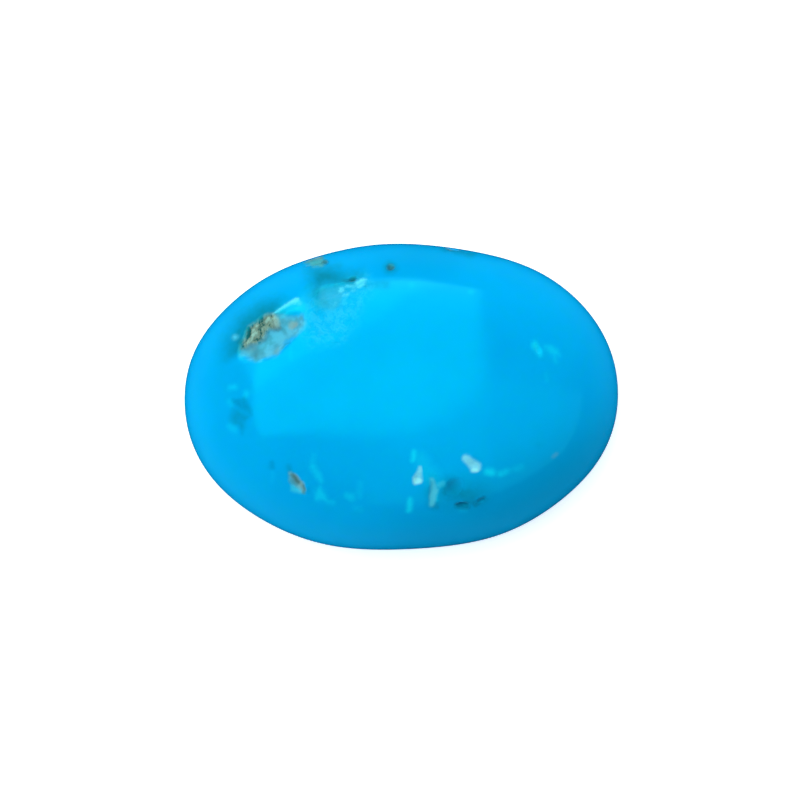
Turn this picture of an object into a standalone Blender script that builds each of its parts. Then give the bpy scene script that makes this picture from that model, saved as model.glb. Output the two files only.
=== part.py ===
"""A polished turquoise cabochon: an oval stone with a domed top, a ground back and natural pits.

The stone lies on its flat back. +X is its long way, +Y its short way and +Z up, in metres.
The origin is in the middle of the back. One closed solid is made: turquoise_stone.
"""
import math

import bmesh
import bpy
import numpy as np
from mathutils import Matrix, Vector

MM = 0.001

# Outline at the girdle, the widest line of the stone
HALF_LENGTH = 10.03 * MM
HALF_WIDTH = 7.27 * MM
OVAL_POWER = 2.065            # 2 is an ellipse, more is fuller at the shoulders
OVAL_TURN = math.radians(1.8)
FLAT_SOFTNESS = 22.0          # how sharply a ground flat meets the oval
# Shallow flats that the hand grinding left: direction in degrees, distance from the middle in mm
GROUND_FLATS = ((240.0, 8.83), (307.0, 8.86), (273.0, 7.33), (131.0, 8.91), (105.0, 7.58), (82.0, 7.37))

# Profile from the back to the crown
GIRDLE_HEIGHT = 1.0 * MM
CROWN_RISE = 4.2 * MM
CROWN_FLATNESS = 3.2          # more makes the top flatter and the shoulder tighter
SHOULDER_POWER = 2.2
BACK_SHRINK = 0.94            # the back's outline as a share of the girdle's
UNDERCUT_RINGS = 3

# Facets
TOP_SEGMENTS = 48
RIM_CROWDING = 1.6            # gathers the rings of facets towards the steep shoulder

# Each pit: name, middle x and y, length, width and depth in mm, turn in degrees, roughness
PITS = (
    ("matrix_hollow", -5.82, 2.39, 3.00, 1.50, 0.34, 33.0, 0.07),
    ("matrix_hollow_foot", -6.84, 1.87, 1.25, 0.95, 0.28, 15.0, 0.08),
    ("matrix_hollow_head", -4.97, 3.12, 1.25, 0.95, 0.22, 60.0, 0.08),
    ("rough_hollow", -3.32, 3.37, 2.30, 1.80, 0.13, 62.0, 0.06),
    ("chalk_hollow", -3.12, 4.52, 1.50, 0.85, 0.12, 12.0, 0.09),
    ("olive_notch", -3.97, 6.02, 1.00, 0.42, 0.12, 14.0, 0.08),
    ("black_pit", -2.21, 5.14, 0.44, 0.26, 0.12, 8.0, 0.08),
    ("top_pit", -0.50, 5.72, 0.46, 0.40, 0.12, 0.0, 0.06),
    ("brown_notch", 2.39, 6.69, 0.60, 0.32, 0.10, 0.0, 0.06),
    ("lower_left_pit", -4.70, -4.19, 1.26, 0.62, 0.16, -57.0, 0.07),
    ("small_drop_pit", 0.75, -4.03, 0.66, 0.36, 0.07, 84.0, 0.05),
    ("long_drop_pit", 1.42, -4.59, 1.20, 0.40, 0.08, 88.0, 0.06),
    ("lower_hollow", 2.43, -4.38, 1.15, 0.85, 0.10, 40.0, 0.07),
    ("dark_slit", 2.80, -5.17, 0.76, 0.30, 0.14, -4.0, 0.05),
    ("dark_slit_end", 3.62, -4.92, 0.46, 0.22, 0.08, 40.0, 0.05),
    ("bright_drop_pit", 3.24, -3.43, 0.70, 0.46, 0.08, -48.0, 0.05),
    ("right_pit", 6.22, 1.87, 0.56, 0.34, 0.09, -62.0, 0.06),
)

# Lumps of iron matrix in the hollow: middle x and y, radius and depth of the middle in mm
LUMPS = (
    (-7.05, 2.17, 0.24, 0.22),
    (-6.70, 2.49, 0.26, 0.26),
    (-6.64, 2.87, 0.24, 0.22),
    (-6.24, 3.05, 0.26, 0.24),
    (-5.76, 3.05, 0.28, 0.26),
    (-6.22, 2.53, 0.20, 0.26),
)

# A cutter's middle stands off the surface by this share of its pit's depth
CUTTER_STANDOFF = 0.8
SLOPE_STEP = 0.01 * MM

TURQUOISE = (0.0, 0.41, 0.83, 1.0)
TURQUOISE_ROUGHNESS = 0.18


def clear_scene():
    for item in list(bpy.data.objects):
        bpy.data.objects.remove(item, do_unlink=True)


def outline_radius(angle):
    """Distance of the girdle from the oval's middle: an oval, cut by soft flats."""
    turned = angle - OVAL_TURN
    oval = (abs(np.cos(turned) / HALF_LENGTH) ** OVAL_POWER
            + abs(np.sin(turned) / HALF_WIDTH) ** OVAL_POWER) ** (FLAT_SOFTNESS / OVAL_POWER)
    for direction, distance in GROUND_FLATS:
        facing = np.maximum(np.cos(angle - math.radians(direction)), 0.0)
        oval = oval + (facing / (distance * MM)) ** FLAT_SOFTNESS
    return oval ** (-1.0 / FLAT_SOFTNESS)


def crown_height(share):
    """Height of the crown at a share, from 0 to 1, of the way from the middle to the girdle."""
    return GIRDLE_HEIGHT + CROWN_RISE * (1.0 - share ** CROWN_FLATNESS) ** (1.0 / SHOULDER_POWER)


def crown_point(x, y):
    """The point of the crown above x, y."""
    share = min(math.hypot(x, y) / outline_radius(math.atan2(y, x)), 1.0)
    return Vector((x, y, crown_height(share)))


def crown_normal(x, y):
    """The crown's outward direction above x, y, from its slopes."""
    along_x = crown_point(x + SLOPE_STEP, y) - crown_point(x - SLOPE_STEP, y)
    along_y = crown_point(x, y + SLOPE_STEP) - crown_point(x, y - SLOPE_STEP)
    return along_x.cross(along_y).normalized()


def disc_position(u, v):
    """Angle and share of the radius for a point of the square from -1 to 1."""
    x = u * math.sqrt(1.0 - v * v / 2.0)
    y = v * math.sqrt(1.0 - u * u / 2.0)
    return math.atan2(y, x), min(math.hypot(x, y), 1.0)


def ring_point(angle, share, height):
    radius = share * outline_radius(angle)
    return Vector((radius * math.cos(angle), radius * math.sin(angle), height))


def stone_body():
    """The crown is a bent grid. Its edge is extruded down the undercut, and the back is filled."""
    mesh = bmesh.new()
    bmesh.ops.create_grid(mesh, x_segments=TOP_SEGMENTS, y_segments=TOP_SEGMENTS, size=1.0)
    for vertex in mesh.verts:
        angle, share = disc_position(vertex.co.x, vertex.co.y)
        share = 1.0 - (1.0 - share) ** RIM_CROWDING
        vertex.co = ring_point(angle, share, crown_height(share))
    rim = [edge for edge in mesh.edges if edge.is_boundary]
    for ring in range(1, UNDERCUT_RINGS + 1):
        turn = math.pi / 2.0 * ring / UNDERCUT_RINGS
        share = 1.0 - (1.0 - BACK_SHRINK) * (1.0 - math.cos(turn))
        height = GIRDLE_HEIGHT * (1.0 - math.sin(turn))
        new_parts = bmesh.ops.extrude_edge_only(mesh, edges=rim)["geom"]
        rim = [part for part in new_parts if isinstance(part, bmesh.types.BMEdge)]
        for vertex in {corner for edge in rim for corner in edge.verts}:
            vertex.co = ring_point(math.atan2(vertex.co.y, vertex.co.x), share, height)
        rim = [edge for edge in rim if edge.is_boundary]
    bmesh.ops.edgeloop_fill(mesh, edges=rim)
    bmesh.ops.recalc_face_normals(mesh, faces=mesh.faces)
    bmesh.ops.triangulate(mesh, faces=[face for face in mesh.faces if len(face.verts) == 4])
    return mesh


def rough_ball(detail, roughness, phase):
    """A ball whose surface swells and sinks by a few crossed waves."""
    mesh = bmesh.new()
    bmesh.ops.create_icosphere(mesh, subdivisions=detail, radius=1.0)
    for vertex in mesh.verts:
        x, y, z = vertex.co
        wave = math.sin(4.1 * x + phase) * math.cos(3.3 * y - phase) + math.sin(5.7 * y + 2.9 * z + 2.0 * phase)
        vertex.co *= 1.0 + roughness * wave
    return mesh


def standing_on_crown(x, y, turn, lift):
    """Placement with +Z out of the crown at x, y and +X turned from the stone's long way."""
    normal = crown_normal(x, y)
    long_way = Vector((math.cos(turn), math.sin(turn), 0.0))
    long_way = (long_way - normal * long_way.dot(normal)).normalized()
    cross_way = normal.cross(long_way)
    axes = Matrix((long_way, cross_way, normal)).transposed().to_4x4()
    return Matrix.Translation(crown_point(x, y) + normal * lift) @ axes


def pit_cutter(pit, phase):
    """A flattened rough ball that sinks into the crown by the pit's depth."""
    name, x, y, length, width, depth, turn, roughness = pit
    detail = 3 if length > 1.0 else 2
    mesh = rough_ball(detail, roughness, phase)
    lift = depth * CUTTER_STANDOFF * MM
    reach = depth * MM + lift
    spread = math.sqrt(1.0 - (lift / reach) ** 2)
    size = Matrix.Diagonal((length * MM / 2.0 / spread, width * MM / 2.0 / spread, reach, 1.0))
    place = standing_on_crown(x * MM, y * MM, math.radians(turn), lift)
    bmesh.ops.transform(mesh, matrix=place @ size, verts=mesh.verts)
    return guide_object("cut_" + name, mesh)


def matrix_lump(number, lump):
    x, y, radius, sunk = lump
    mesh = rough_ball(2, 0.06, float(number))
    size = Matrix.Diagonal((radius * MM, radius * MM, radius * MM, 1.0))
    place = standing_on_crown(x * MM, y * MM, 0.0, -sunk * MM)
    bmesh.ops.transform(mesh, matrix=place @ size, verts=mesh.verts)
    return guide_object("add_lump_%d" % number, mesh)


def new_object(name, bmesh_data):
    mesh = bpy.data.meshes.new(name)
    bmesh_data.to_mesh(mesh)
    bmesh_data.free()
    item = bpy.data.objects.new(name, mesh)
    bpy.context.scene.collection.objects.link(item)
    return item


def guide_object(name, bmesh_data):
    item = new_object(name, bmesh_data)
    item.hide_render = True
    item.display_type = "WIRE"
    return item


def combine(stone, other, operation):
    step = stone.modifiers.new(other.name, "BOOLEAN")
    step.operation = operation
    step.solver = "EXACT"
    step.object = other


def turquoise_material():
    material = bpy.data.materials.new("turquoise")
    material.use_nodes = True
    shader = material.node_tree.nodes["Principled BSDF"]
    shader.inputs["Base Color"].default_value = TURQUOISE
    shader.inputs["Roughness"].default_value = TURQUOISE_ROUGHNESS
    shader.inputs["Metallic"].default_value = 0.0
    return material


def build_stone():
    stone = new_object("turquoise_stone", stone_body())
    stone.data.materials.append(turquoise_material())
    stone.data.shade_smooth()
    stone.data.set_sharp_from_angle(angle=math.radians(40.0))
    for number, pit in enumerate(PITS):
        combine(stone, pit_cutter(pit, float(number)), "DIFFERENCE")
    for number, lump in enumerate(LUMPS):
        combine(stone, matrix_lump(number, lump), "UNION")


clear_scene()
build_stone()
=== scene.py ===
"""A polished turquoise cabochon with natural pits and iron matrix, on a white floor.

One closed surface stands for the whole stone. Its outline, crown and pits follow the solid, and
finer relief is added where the stone isn't polished. Lengths in the drawing functions are in mm.
"""
import math

import bpy
import numpy as np
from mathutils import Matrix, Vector


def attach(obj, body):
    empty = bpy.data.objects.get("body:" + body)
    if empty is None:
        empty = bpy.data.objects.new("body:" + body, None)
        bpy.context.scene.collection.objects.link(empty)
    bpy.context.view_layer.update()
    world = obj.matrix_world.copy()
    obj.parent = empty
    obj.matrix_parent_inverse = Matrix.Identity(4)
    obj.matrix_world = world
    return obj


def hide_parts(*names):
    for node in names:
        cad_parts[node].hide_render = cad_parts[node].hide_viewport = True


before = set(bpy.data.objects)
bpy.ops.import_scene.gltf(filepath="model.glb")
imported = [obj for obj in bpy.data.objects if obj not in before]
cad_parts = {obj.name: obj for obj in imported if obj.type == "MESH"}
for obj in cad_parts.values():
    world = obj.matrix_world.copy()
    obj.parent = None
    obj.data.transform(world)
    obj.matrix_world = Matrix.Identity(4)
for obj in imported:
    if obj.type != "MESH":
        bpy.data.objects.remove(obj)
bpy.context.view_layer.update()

MM = 0.001

# Outline at the girdle, as in the solid
HALF_LENGTH = 10.03
HALF_WIDTH = 7.27
OVAL_POWER = 2.065
OVAL_TURN = math.radians(1.8)
FLAT_SOFTNESS = 22.0
GROUND_FLATS = ((240.0, 8.83), (307.0, 8.86), (273.0, 7.33), (131.0, 8.91), (105.0, 7.58), (82.0, 7.37))

# Profile from the back to the crown, as in the solid
GIRDLE_HEIGHT = 1.0
CROWN_RISE = 4.2
CROWN_FLATNESS = 3.2
SHOULDER_POWER = 2.2
BACK_SHRINK = 0.94

# Grid of the fine surface
CELLS = 276
UNDERCUT_RINGS = 7
BACK_RINGS = 8
RIM_GUARD_POWER = 8           # more lets the cells be drawn in nearer to the rim
PROFILE_STEPS = 4001
MEAN_RADIUS = 8.5
# Where the cells are drawn in: middle x and y, reach, and share by which they shrink
BUSY_PLACES = (
    (-5.3, 2.8, 2.4, 0.50),
    (-2.6, 4.4, 1.8, 0.40),
    (2.2, -4.4, 2.4, 0.50),
    (-4.4, -4.2, 1.6, 0.40),
)

# Noise of the surface: points along a side of its lattice, layers, and step between the seeds of
# the pushes along x and y
LATTICE = 97
NOISE_LAYERS = 3
SEED_STEP = 50

# Limits that keep a division safe and a search open
TINY = 1e-12
FAR_AWAY = 1e9

# Each pit, as in the solid: middle x and y, length, width and depth, turn in degrees, roughness.
# The last number is 0 for a crisp rim and 1 for a bowl that eases into the polish.
PITS = (
    (-5.82, 2.39, 3.00, 1.50, 0.34, 33.0, 0.07, 0.7),
    (-6.84, 1.87, 1.25, 0.95, 0.28, 15.0, 0.08, 0.7),
    (-4.97, 3.12, 1.25, 0.95, 0.22, 60.0, 0.08, 1.0),
    (-3.32, 3.37, 2.30, 1.80, 0.13, 62.0, 0.06, 1.0),
    (-3.12, 4.52, 1.50, 0.85, 0.12, 12.0, 0.09, 0.8),
    (-3.97, 6.02, 1.00, 0.42, 0.12, 14.0, 0.08, 0.8),
    (-2.21, 5.14, 0.44, 0.26, 0.12, 8.0, 0.08, 0.8),
    (-0.50, 5.72, 0.46, 0.40, 0.12, 0.0, 0.06, 1.0),
    (2.39, 6.69, 0.60, 0.32, 0.10, 0.0, 0.06, 0.6),
    (-4.70, -4.19, 1.26, 0.62, 0.16, -57.0, 0.07, 1.0),
    (0.75, -4.03, 0.66, 0.36, 0.07, 84.0, 0.05, 1.0),
    (1.42, -4.59, 1.20, 0.40, 0.08, 88.0, 0.06, 1.0),
    (2.43, -4.38, 1.15, 0.85, 0.10, 40.0, 0.07, 1.0),
    (2.80, -5.17, 0.76, 0.30, 0.14, -4.0, 0.05, 1.0),
    (3.62, -4.92, 0.46, 0.22, 0.08, 40.0, 0.05, 1.0),
    (3.24, -3.43, 0.70, 0.46, 0.08, -48.0, 0.05, 1.0),
    (6.22, 1.87, 0.56, 0.34, 0.09, -62.0, 0.06, 1.0),
)
PIT_STANDOFF = 0.8
PIT_EASE = 0.04
PIT_REACH = 1.5               # a pit marks only the crown that is this close to its own plane
PIT_SWELL = 2.0
PIT_GRAIN = 0.45              # size of a pit's swellings as a share of its width
PIT_SEED = 40
BOWL_SPREAD = 1.3
DULL_DEPTH = 0.05             # a pit at least this deep is dull all over

# Fine relief in mm. Each noise has a height, a grain size and a seed
IRON_LEVEL = -0.09
IRON_HEIGHT = 0.055
IRON_GRAIN = (0.22, 21)
IRON_STRETCH = 1.8            # the fine grains are this much taller than wide
# Lightness of the iron matrix: its middle, and the shares of the drawn and the fine grains
GRAIN_LEVEL = 0.50
DRAWN_SHARE = 0.30
FINE_SHARE = 0.34
SKIN_RELIEF = ((0.010, 0.30, 11), (0.006, 0.12, 15))
HOST_RELIEF = (0.010, 0.40, 18)
LIP_HEIGHT = 0.03

# Patches by their corners, x and y
HOST_ROCK = (
    (-7.28, 1.99), (-7.34, 1.67), (-7.06, 1.64), (-6.81, 1.50), (-6.61, 1.37), (-6.42, 1.44),
    (-6.10, 1.52), (-5.65, 1.67), (-5.45, 1.89), (-5.37, 2.19), (-5.09, 2.40), (-4.77, 2.61),
    (-4.50, 2.78), (-4.38, 3.10), (-4.50, 3.40), (-5.10, 3.43), (-5.52, 3.53), (-5.88, 3.57),
    (-5.96, 3.24), (-5.75, 2.98), (-6.18, 2.92), (-6.35, 2.56), (-6.65, 2.28), (-7.05, 2.19),
)
HOST_SHADE = (
    (-7.17, 1.99), (-6.46, 1.96), (-6.39, 1.68), (-6.60, 1.42), (-6.74, 1.54), (-6.92, 1.76),
)
IRON_MATRIX = (
    (-7.29, 1.99), (-7.24, 2.31), (-7.10, 2.53), (-7.02, 2.74), (-6.93, 2.99), (-6.72, 3.17),
    (-6.47, 3.30), (-6.30, 3.46), (-6.09, 3.54), (-5.87, 3.56), (-5.68, 3.40), (-5.56, 3.20),
    (-5.58, 2.95), (-5.80, 2.86), (-6.04, 2.89), (-6.18, 2.73), (-6.25, 2.53), (-6.46, 2.32),
    (-6.67, 2.17), (-6.92, 2.18), (-7.10, 2.02),
)
ROUGH_SKIN = (
    (-4.20, 4.10), (-3.78, 4.66), (-2.80, 4.98), (-1.61, 5.28), (-1.30, 4.86), (-1.75, 4.30),
    (-2.20, 3.11), (-2.60, 2.30), (-3.96, 2.11), (-4.40, 2.60), (-4.50, 3.40),
)
CHALK = (
    (-3.63, 4.69), (-3.36, 4.76), (-2.85, 4.81), (-2.64, 4.63), (-2.72, 4.28), (-2.76, 3.89),
    (-3.22, 3.72), (-3.64, 3.86), (-3.77, 4.04), (-3.71, 4.39),
)
# Teal stain and painted shade on the upper side of the rough hollow
TEAL_STAIN_AND_SHADE = (
    (-4.10, 5.80), (-3.37, 5.79), (-2.86, 5.54), (-2.43, 5.32), (-2.01, 5.30), (-2.09, 4.98),
    (-2.81, 4.86), (-3.36, 4.79), (-3.61, 4.72), (-3.67, 4.39), (-3.81, 4.04), (-4.02, 4.40),
    (-4.05, 4.95),
)
OLIVE_PATCH = (
    (-4.43, 6.09), (-4.12, 6.28), (-3.65, 6.35), (-3.46, 6.10), (-3.63, 5.81), (-4.10, 5.81),
)
LOWER_LEFT_ROCK = (
    (-5.12, -3.72), (-5.00, -3.70), (-4.40, -4.29), (-4.39, -4.67), (-4.61, -4.60),
    (-5.04, -4.26), (-5.15, -4.04),
)
CYAN_FACET = ((-5.03, -4.29), (-5.04, -4.55), (-4.55, -4.64), (-4.83, -4.37))
# Painted shade over the lower hollow
SHADED_HOLLOW = (
    (1.94, -4.06), (2.30, -3.97), (2.71, -4.33), (2.89, -4.73), (2.62, -4.95), (2.12, -4.95),
    (1.85, -4.64),
)
GREEN_LOBE = (
    (2.67, -4.46), (3.12, -4.41), (3.49, -4.72), (3.26, -5.17), (2.90, -5.13), (2.62, -4.86),
)
LEFT_SHADE = (
    (-7.10, -0.22), (-7.73, -0.46), (-7.33, -0.76), (-6.79, -1.03), (-6.86, -0.76), (-7.00, -0.44),
)
LEFT_TEAL = ((-7.66, -0.76), (-6.86, -1.10), (-7.24, -1.66), (-7.62, -1.47), (-7.81, -1.23))

# Streaks and spots: start x and y, end x and y, radius at the start and at the end, strength
# Pale chalk, and painted highlights on the lit edges of the hollows
CHALK_AND_HIGHLIGHT_STREAKS = (
    (-5.88, 3.54, -5.10, 4.03, 0.03, 0.07, 1.00),
    (-5.10, 4.03, -4.80, 4.17, 0.07, 0.13, 1.00),
    (-4.75, 4.16, -4.64, 4.02, 0.09, 0.09, 0.35),
    (-2.01, 4.96, -1.71, 5.07, 0.09, 0.11, 0.85),
    (-1.92, 4.80, -1.73, 4.87, 0.08, 0.08, 0.70),
    (-2.13, 4.80, -1.92, 4.89, 0.05, 0.06, 0.55),
    (-2.51, 4.83, -2.18, 4.80, 0.05, 0.06, 0.50),
    (-2.72, 4.70, -2.76, 4.64, 0.12, 0.10, 0.75),
    (-2.62, 4.41, -2.45, 4.43, 0.07, 0.06, 0.55),
    (-2.24, 4.54, -2.09, 4.63, 0.05, 0.05, 0.40),
    (-3.01, 4.02, -3.01, 4.02, 0.06, 0.06, 0.35),
    (-7.29, 1.69, -7.02, 1.68, 0.05, 0.05, 0.45),
    (-6.95, 1.50, -6.81, 1.45, 0.04, 0.04, 0.50),
    (-6.49, 1.36, -6.38, 1.43, 0.04, 0.04, 0.45),
    (-6.20, 2.62, -6.00, 2.10, 0.03, 0.02, 0.30),
    (-5.60, 2.95, -5.15, 2.45, 0.03, 0.02, 0.30),
)
PALE_STREAKS = (
    (-7.34, 1.56, -7.05, 1.45, 0.06, 0.06, 0.30),
    (-5.02, 1.96, -5.00, 1.40, 0.05, 0.04, 0.20),
    (0.47, 4.84, 0.47, 4.84, 0.12, 0.12, 0.15),
    (3.22, 4.53, 3.22, 4.53, 0.12, 0.12, 0.30),
    (6.08, 2.30, 6.10, 2.10, 0.05, 0.12, 0.35),
    (6.10, 2.10, 6.16, 1.96, 0.14, 0.12, 0.95),
    (6.24, 1.80, 6.32, 1.62, 0.11, 0.08, 0.62),
    (6.52, 2.04, 6.80, 1.95, 0.06, 0.13, 0.45),
    (6.80, 1.92, 7.00, 1.76, 0.16, 0.14, 0.55),
    (7.00, 1.86, 7.20, 1.66, 0.13, 0.06, 0.50),
    (6.94, 1.70, 7.02, 1.34, 0.12, 0.05, 0.40),
    (6.62, 0.77, 6.62, 0.47, 0.07, 0.10, 0.20),
    (-7.80, 0.21, -7.57, 0.20, 0.10, 0.10, 0.46),
    (-7.05, -0.14, -7.04, -0.11, 0.14, 0.14, 0.52),
    (-7.87, -0.45, -7.70, -0.62, 0.10, 0.06, 0.34),
    (-7.83, -1.57, -7.59, -1.75, 0.13, 0.13, 0.34),
    (-5.87, -3.72, -5.88, -4.09, 0.07, 0.07, 0.20),
    (-3.99, -2.93, -4.06, -3.42, 0.09, 0.12, 0.22),
    (-4.06, -3.42, -3.76, -3.88, 0.11, 0.16, 0.48),
    (-3.76, -3.88, -3.64, -4.10, 0.15, 0.10, 0.52),
    (-3.69, -4.40, -3.68, -4.75, 0.06, 0.22, 0.60),
    (-3.68, -4.72, -3.84, -4.88, 0.20, 0.09, 0.62),
    (-3.68, -4.72, -3.46, -4.90, 0.20, 0.09, 0.62),
    (-3.38, -4.99, -3.12, -5.06, 0.08, 0.08, 0.40),
    (-2.44, -4.78, -2.24, -4.84, 0.14, 0.17, 0.42),
    (-1.88, -4.20, -1.88, -4.78, 0.12, 0.12, 0.20),
    (-2.10, -5.31, -1.83, -5.40, 0.13, 0.13, 0.20),
    (0.59, -2.83, 0.52, -3.17, 0.11, 0.10, 0.90),
    (0.39, -4.95, 0.36, -5.36, 0.10, 0.14, 0.88),
    (1.66, -4.30, 1.86, -4.24, 0.14, 0.14, 0.42),
    (1.63, -4.51, 1.58, -4.95, 0.05, 0.07, 0.70),
    (2.72, -5.43, 2.95, -5.43, 0.05, 0.05, 0.25),
    (3.91, -3.69, 4.10, -3.69, 0.13, 0.15, 0.90),
    (4.48, -3.75, 4.66, -3.72, 0.12, 0.11, 0.60),
    (4.66, -3.70, 4.87, -3.62, 0.11, 0.09, 0.55),
    (5.17, -3.54, 5.49, -3.45, 0.10, 0.10, 0.28),
)
# Broad pale marks. The first is painted light on the hollow's wall under the lip
BROAD_PALES = (
    (-5.40, 3.74, -4.66, 3.84, 0.16, 0.20, 0.58),
    (0.89, -3.10, 1.35, -3.90, 0.30, 0.40, 0.30),
    (-3.68, -4.70, -3.66, -4.80, 0.20, 0.20, 0.35),
    (6.16, 1.96, 6.90, 1.90, 0.10, 0.14, 0.22),
    (-4.20, 4.80, -4.60, 4.20, 0.10, 0.10, 0.20),
)
# White mineral in the pits; their bright lower ends are painted highlight
BEADS_AND_HIGHLIGHTS = (
    (2.89, -3.04, 3.33, -3.46, 0.13, 0.25, 0.70),
    (3.23, -3.60, 3.41, -3.59, 0.10, 0.10, 1.00),
    (0.86, -3.50, 0.76, -3.98, 0.07, 0.20, 0.62),
    (0.70, -4.09, 0.80, -4.07, 0.15, 0.15, 1.00),
)
GREY_DROPS = (
    (1.38, -4.04, 1.51, -4.55, 0.08, 0.17, 0.90),
    (1.51, -4.55, 1.37, -5.12, 0.17, 0.12, 1.00),
    (1.55, -4.40, 1.88, -4.24, 0.10, 0.10, 0.35),
    (-7.61, 2.53, -7.57, 2.50, 0.12, 0.12, 0.75),
)
# Light grains of the iron matrix, and the dark gaps between them, whose darkness is painted shade
IRON_GRAINS = (
    (-7.05, 2.20, -6.87, 2.41, 0.08, 0.09, 1.00),
    (-6.82, 2.44, -6.75, 2.80, 0.09, 0.13, 1.00),
    (-6.71, 2.80, -6.61, 3.09, 0.10, 0.06, 0.80),
    (-6.22, 3.20, -6.12, 3.33, 0.08, 0.09, 0.90),
    (-5.98, 3.36, -5.90, 3.10, 0.07, 0.07, 0.60),
    (-5.77, 3.35, -5.70, 3.02, 0.11, 0.14, 0.90),
    (-6.27, 2.50, -6.31, 2.75, 0.05, 0.05, 0.80),
    (-7.21, 2.20, -7.10, 2.06, 0.05, 0.05, 0.70),
    (-6.42, 3.12, -6.29, 2.97, 0.04, 0.06, 0.50),
    (-6.19, 3.00, -6.08, 2.82, 0.05, 0.05, 0.50),
)
IRON_GAPS = (
    (-6.93, 2.92, -7.00, 2.56, 0.07, 0.07, 1.00),
    (-6.49, 3.08, -6.40, 2.72, 0.05, 0.08, 0.85),
    (-6.40, 2.72, -6.51, 2.29, 0.08, 0.07, 0.80),
    (-6.42, 3.39, -6.31, 3.08, 0.06, 0.05, 0.80),
    (-7.30, 2.32, -7.28, 1.99, 0.07, 0.05, 0.80),
    (-6.58, 3.12, -6.40, 3.26, 0.05, 0.05, 0.60),
    (-5.95, 3.50, -5.89, 3.25, 0.05, 0.04, 0.50),
    (-6.60, 2.26, -6.74, 2.15, 0.05, 0.05, 0.50),
)
# Painted shade: dark spots in pits, in the gaps of the iron matrix and in the hollows
DARK_SPOTS = (
    (-6.96, 2.92, -7.04, 2.56, 0.06, 0.06, 0.75),
    (-7.32, 2.32, -7.30, 1.99, 0.06, 0.05, 0.50),
    (-6.42, 3.39, -6.33, 3.12, 0.04, 0.04, 0.50),
    (-5.42, 1.94, -5.30, 2.13, 0.04, 0.05, 0.40),
    (-5.30, 2.13, -5.10, 2.19, 0.05, 0.03, 0.40),
    (-6.70, 1.69, -6.61, 1.39, 0.07, 0.04, 0.30),
    (-2.20, 5.13, -2.26, 5.11, 0.12, 0.10, 0.75),
    (-2.26, 5.11, -2.60, 5.05, 0.11, 0.07, 0.35),
    (-3.42, 4.07, -3.42, 4.07, 0.07, 0.07, 0.18),
    (-3.53, 6.04, -3.50, 6.02, 0.12, 0.12, 0.60),
    (-0.50, 5.70, -0.46, 5.74, 0.13, 0.13, 0.70),
    (2.28, 6.74, 2.56, 6.74, 0.11, 0.11, 0.55),
    (-4.96, -3.84, -4.72, -4.18, 0.07, 0.09, 0.62),
    (-4.45, -4.34, -4.44, -4.62, 0.04, 0.04, 0.65),
    (1.51, -5.24, 1.62, -5.22, 0.05, 0.05, 0.20),
)
# Painted shade: dark spots in the slit and other pits, and one where the reflection on the crown has a gap
DARK_SHADE_SPOTS = (
    (2.56, -5.20, 2.99, -5.23, 0.13, 0.13, 0.72),
    (3.38, -5.10, 3.74, -4.87, 0.12, 0.13, 0.50),
    (2.03, -4.78, 2.49, -4.80, 0.20, 0.20, 0.20),
    (-7.68, -0.42, -6.95, -0.80, 0.07, 0.09, 0.30),
    (-7.23, -1.62, -7.23, -1.94, 0.06, 0.05, 0.20),
    (-4.26, -4.49, -4.25, -4.58, 0.08, 0.08, 0.20),
    (-5.90, -3.27, -5.89, -3.47, 0.12, 0.12, 0.24),
    (6.26, -2.48, 6.26, -2.48, 0.14, 0.14, 0.06),
    (3.27, -3.00, 3.56, -3.23, 0.03, 0.03, 0.25),
    (-1.46, 4.84, -0.70, 4.84, 0.22, 0.20, 0.22),
)
# Teal stains, and painted shade round the iron matrix and over the lower hollow
STAIN_AND_SHADE_SPOTS = (
    (-3.45, 5.78, -3.26, 5.41, 0.06, 0.12, 0.40),
    (-3.80, 5.20, -3.70, 4.90, 0.20, 0.14, 0.80),
    (-7.48, 2.62, -7.36, 2.86, 0.16, 0.16, 0.86),
    (-0.49, 5.67, -0.49, 5.67, 0.30, 0.30, 0.50),
    (-7.62, 2.52, -7.58, 2.50, 0.22, 0.22, 0.40),
    (2.00, 6.78, 3.20, 6.50, 0.18, 0.20, 0.45),
    (-5.12, -3.48, -5.06, -3.64, 0.07, 0.08, 0.55),
    (1.44, -4.11, 1.44, -5.04, 0.34, 0.34, 0.20),
    (1.86, -4.40, 1.96, -4.55, 0.18, 0.18, 0.36),
    (-4.34, 6.18, -3.70, 6.35, 0.10, 0.10, 0.75),
    (-2.20, 5.20, -2.30, 5.20, 0.20, 0.20, 0.50),
    (-6.68, 1.97, -6.70, 1.69, 0.10, 0.09, 0.35),
)
BROWN_SPOTS = (
    (-4.34, 6.18, -3.75, 6.33, 0.06, 0.06, 0.70),
    (-4.97, 3.08, -5.02, 3.04, 0.19, 0.16, 0.85),
    (-5.70, 1.81, -5.65, 1.89, 0.14, 0.12, 0.28),
    (-6.95, 1.93, -6.81, 2.03, 0.12, 0.11, 0.25),
    (-5.74, 3.16, -5.70, 3.02, 0.12, 0.14, 0.50),
    (-4.88, -3.90, -4.58, -4.30, 0.12, 0.14, 0.75),
    (-5.02, -3.78, -4.92, -3.92, 0.05, 0.08, 0.55),
    (-4.56, -4.20, -4.47, -4.50, 0.10, 0.06, 0.75),
    (-0.47, 5.75, -0.45, 5.76, 0.06, 0.06, 0.50),
    (2.20, 6.86, 2.65, 6.82, 0.13, 0.13, 0.80),
    (6.95, -2.95, 7.05, -2.85, 0.06, 0.06, 0.30),
)

# Ways in which a mark's edge wanders: how far, over what size and by which seed
NEAR = (0.06, 0.28, 1)
WILD = (0.16, 0.40, 5)
RAGGED = (0.12, 0.24, 9)
GRAINY = (0.03, 0.16, 31)
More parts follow.
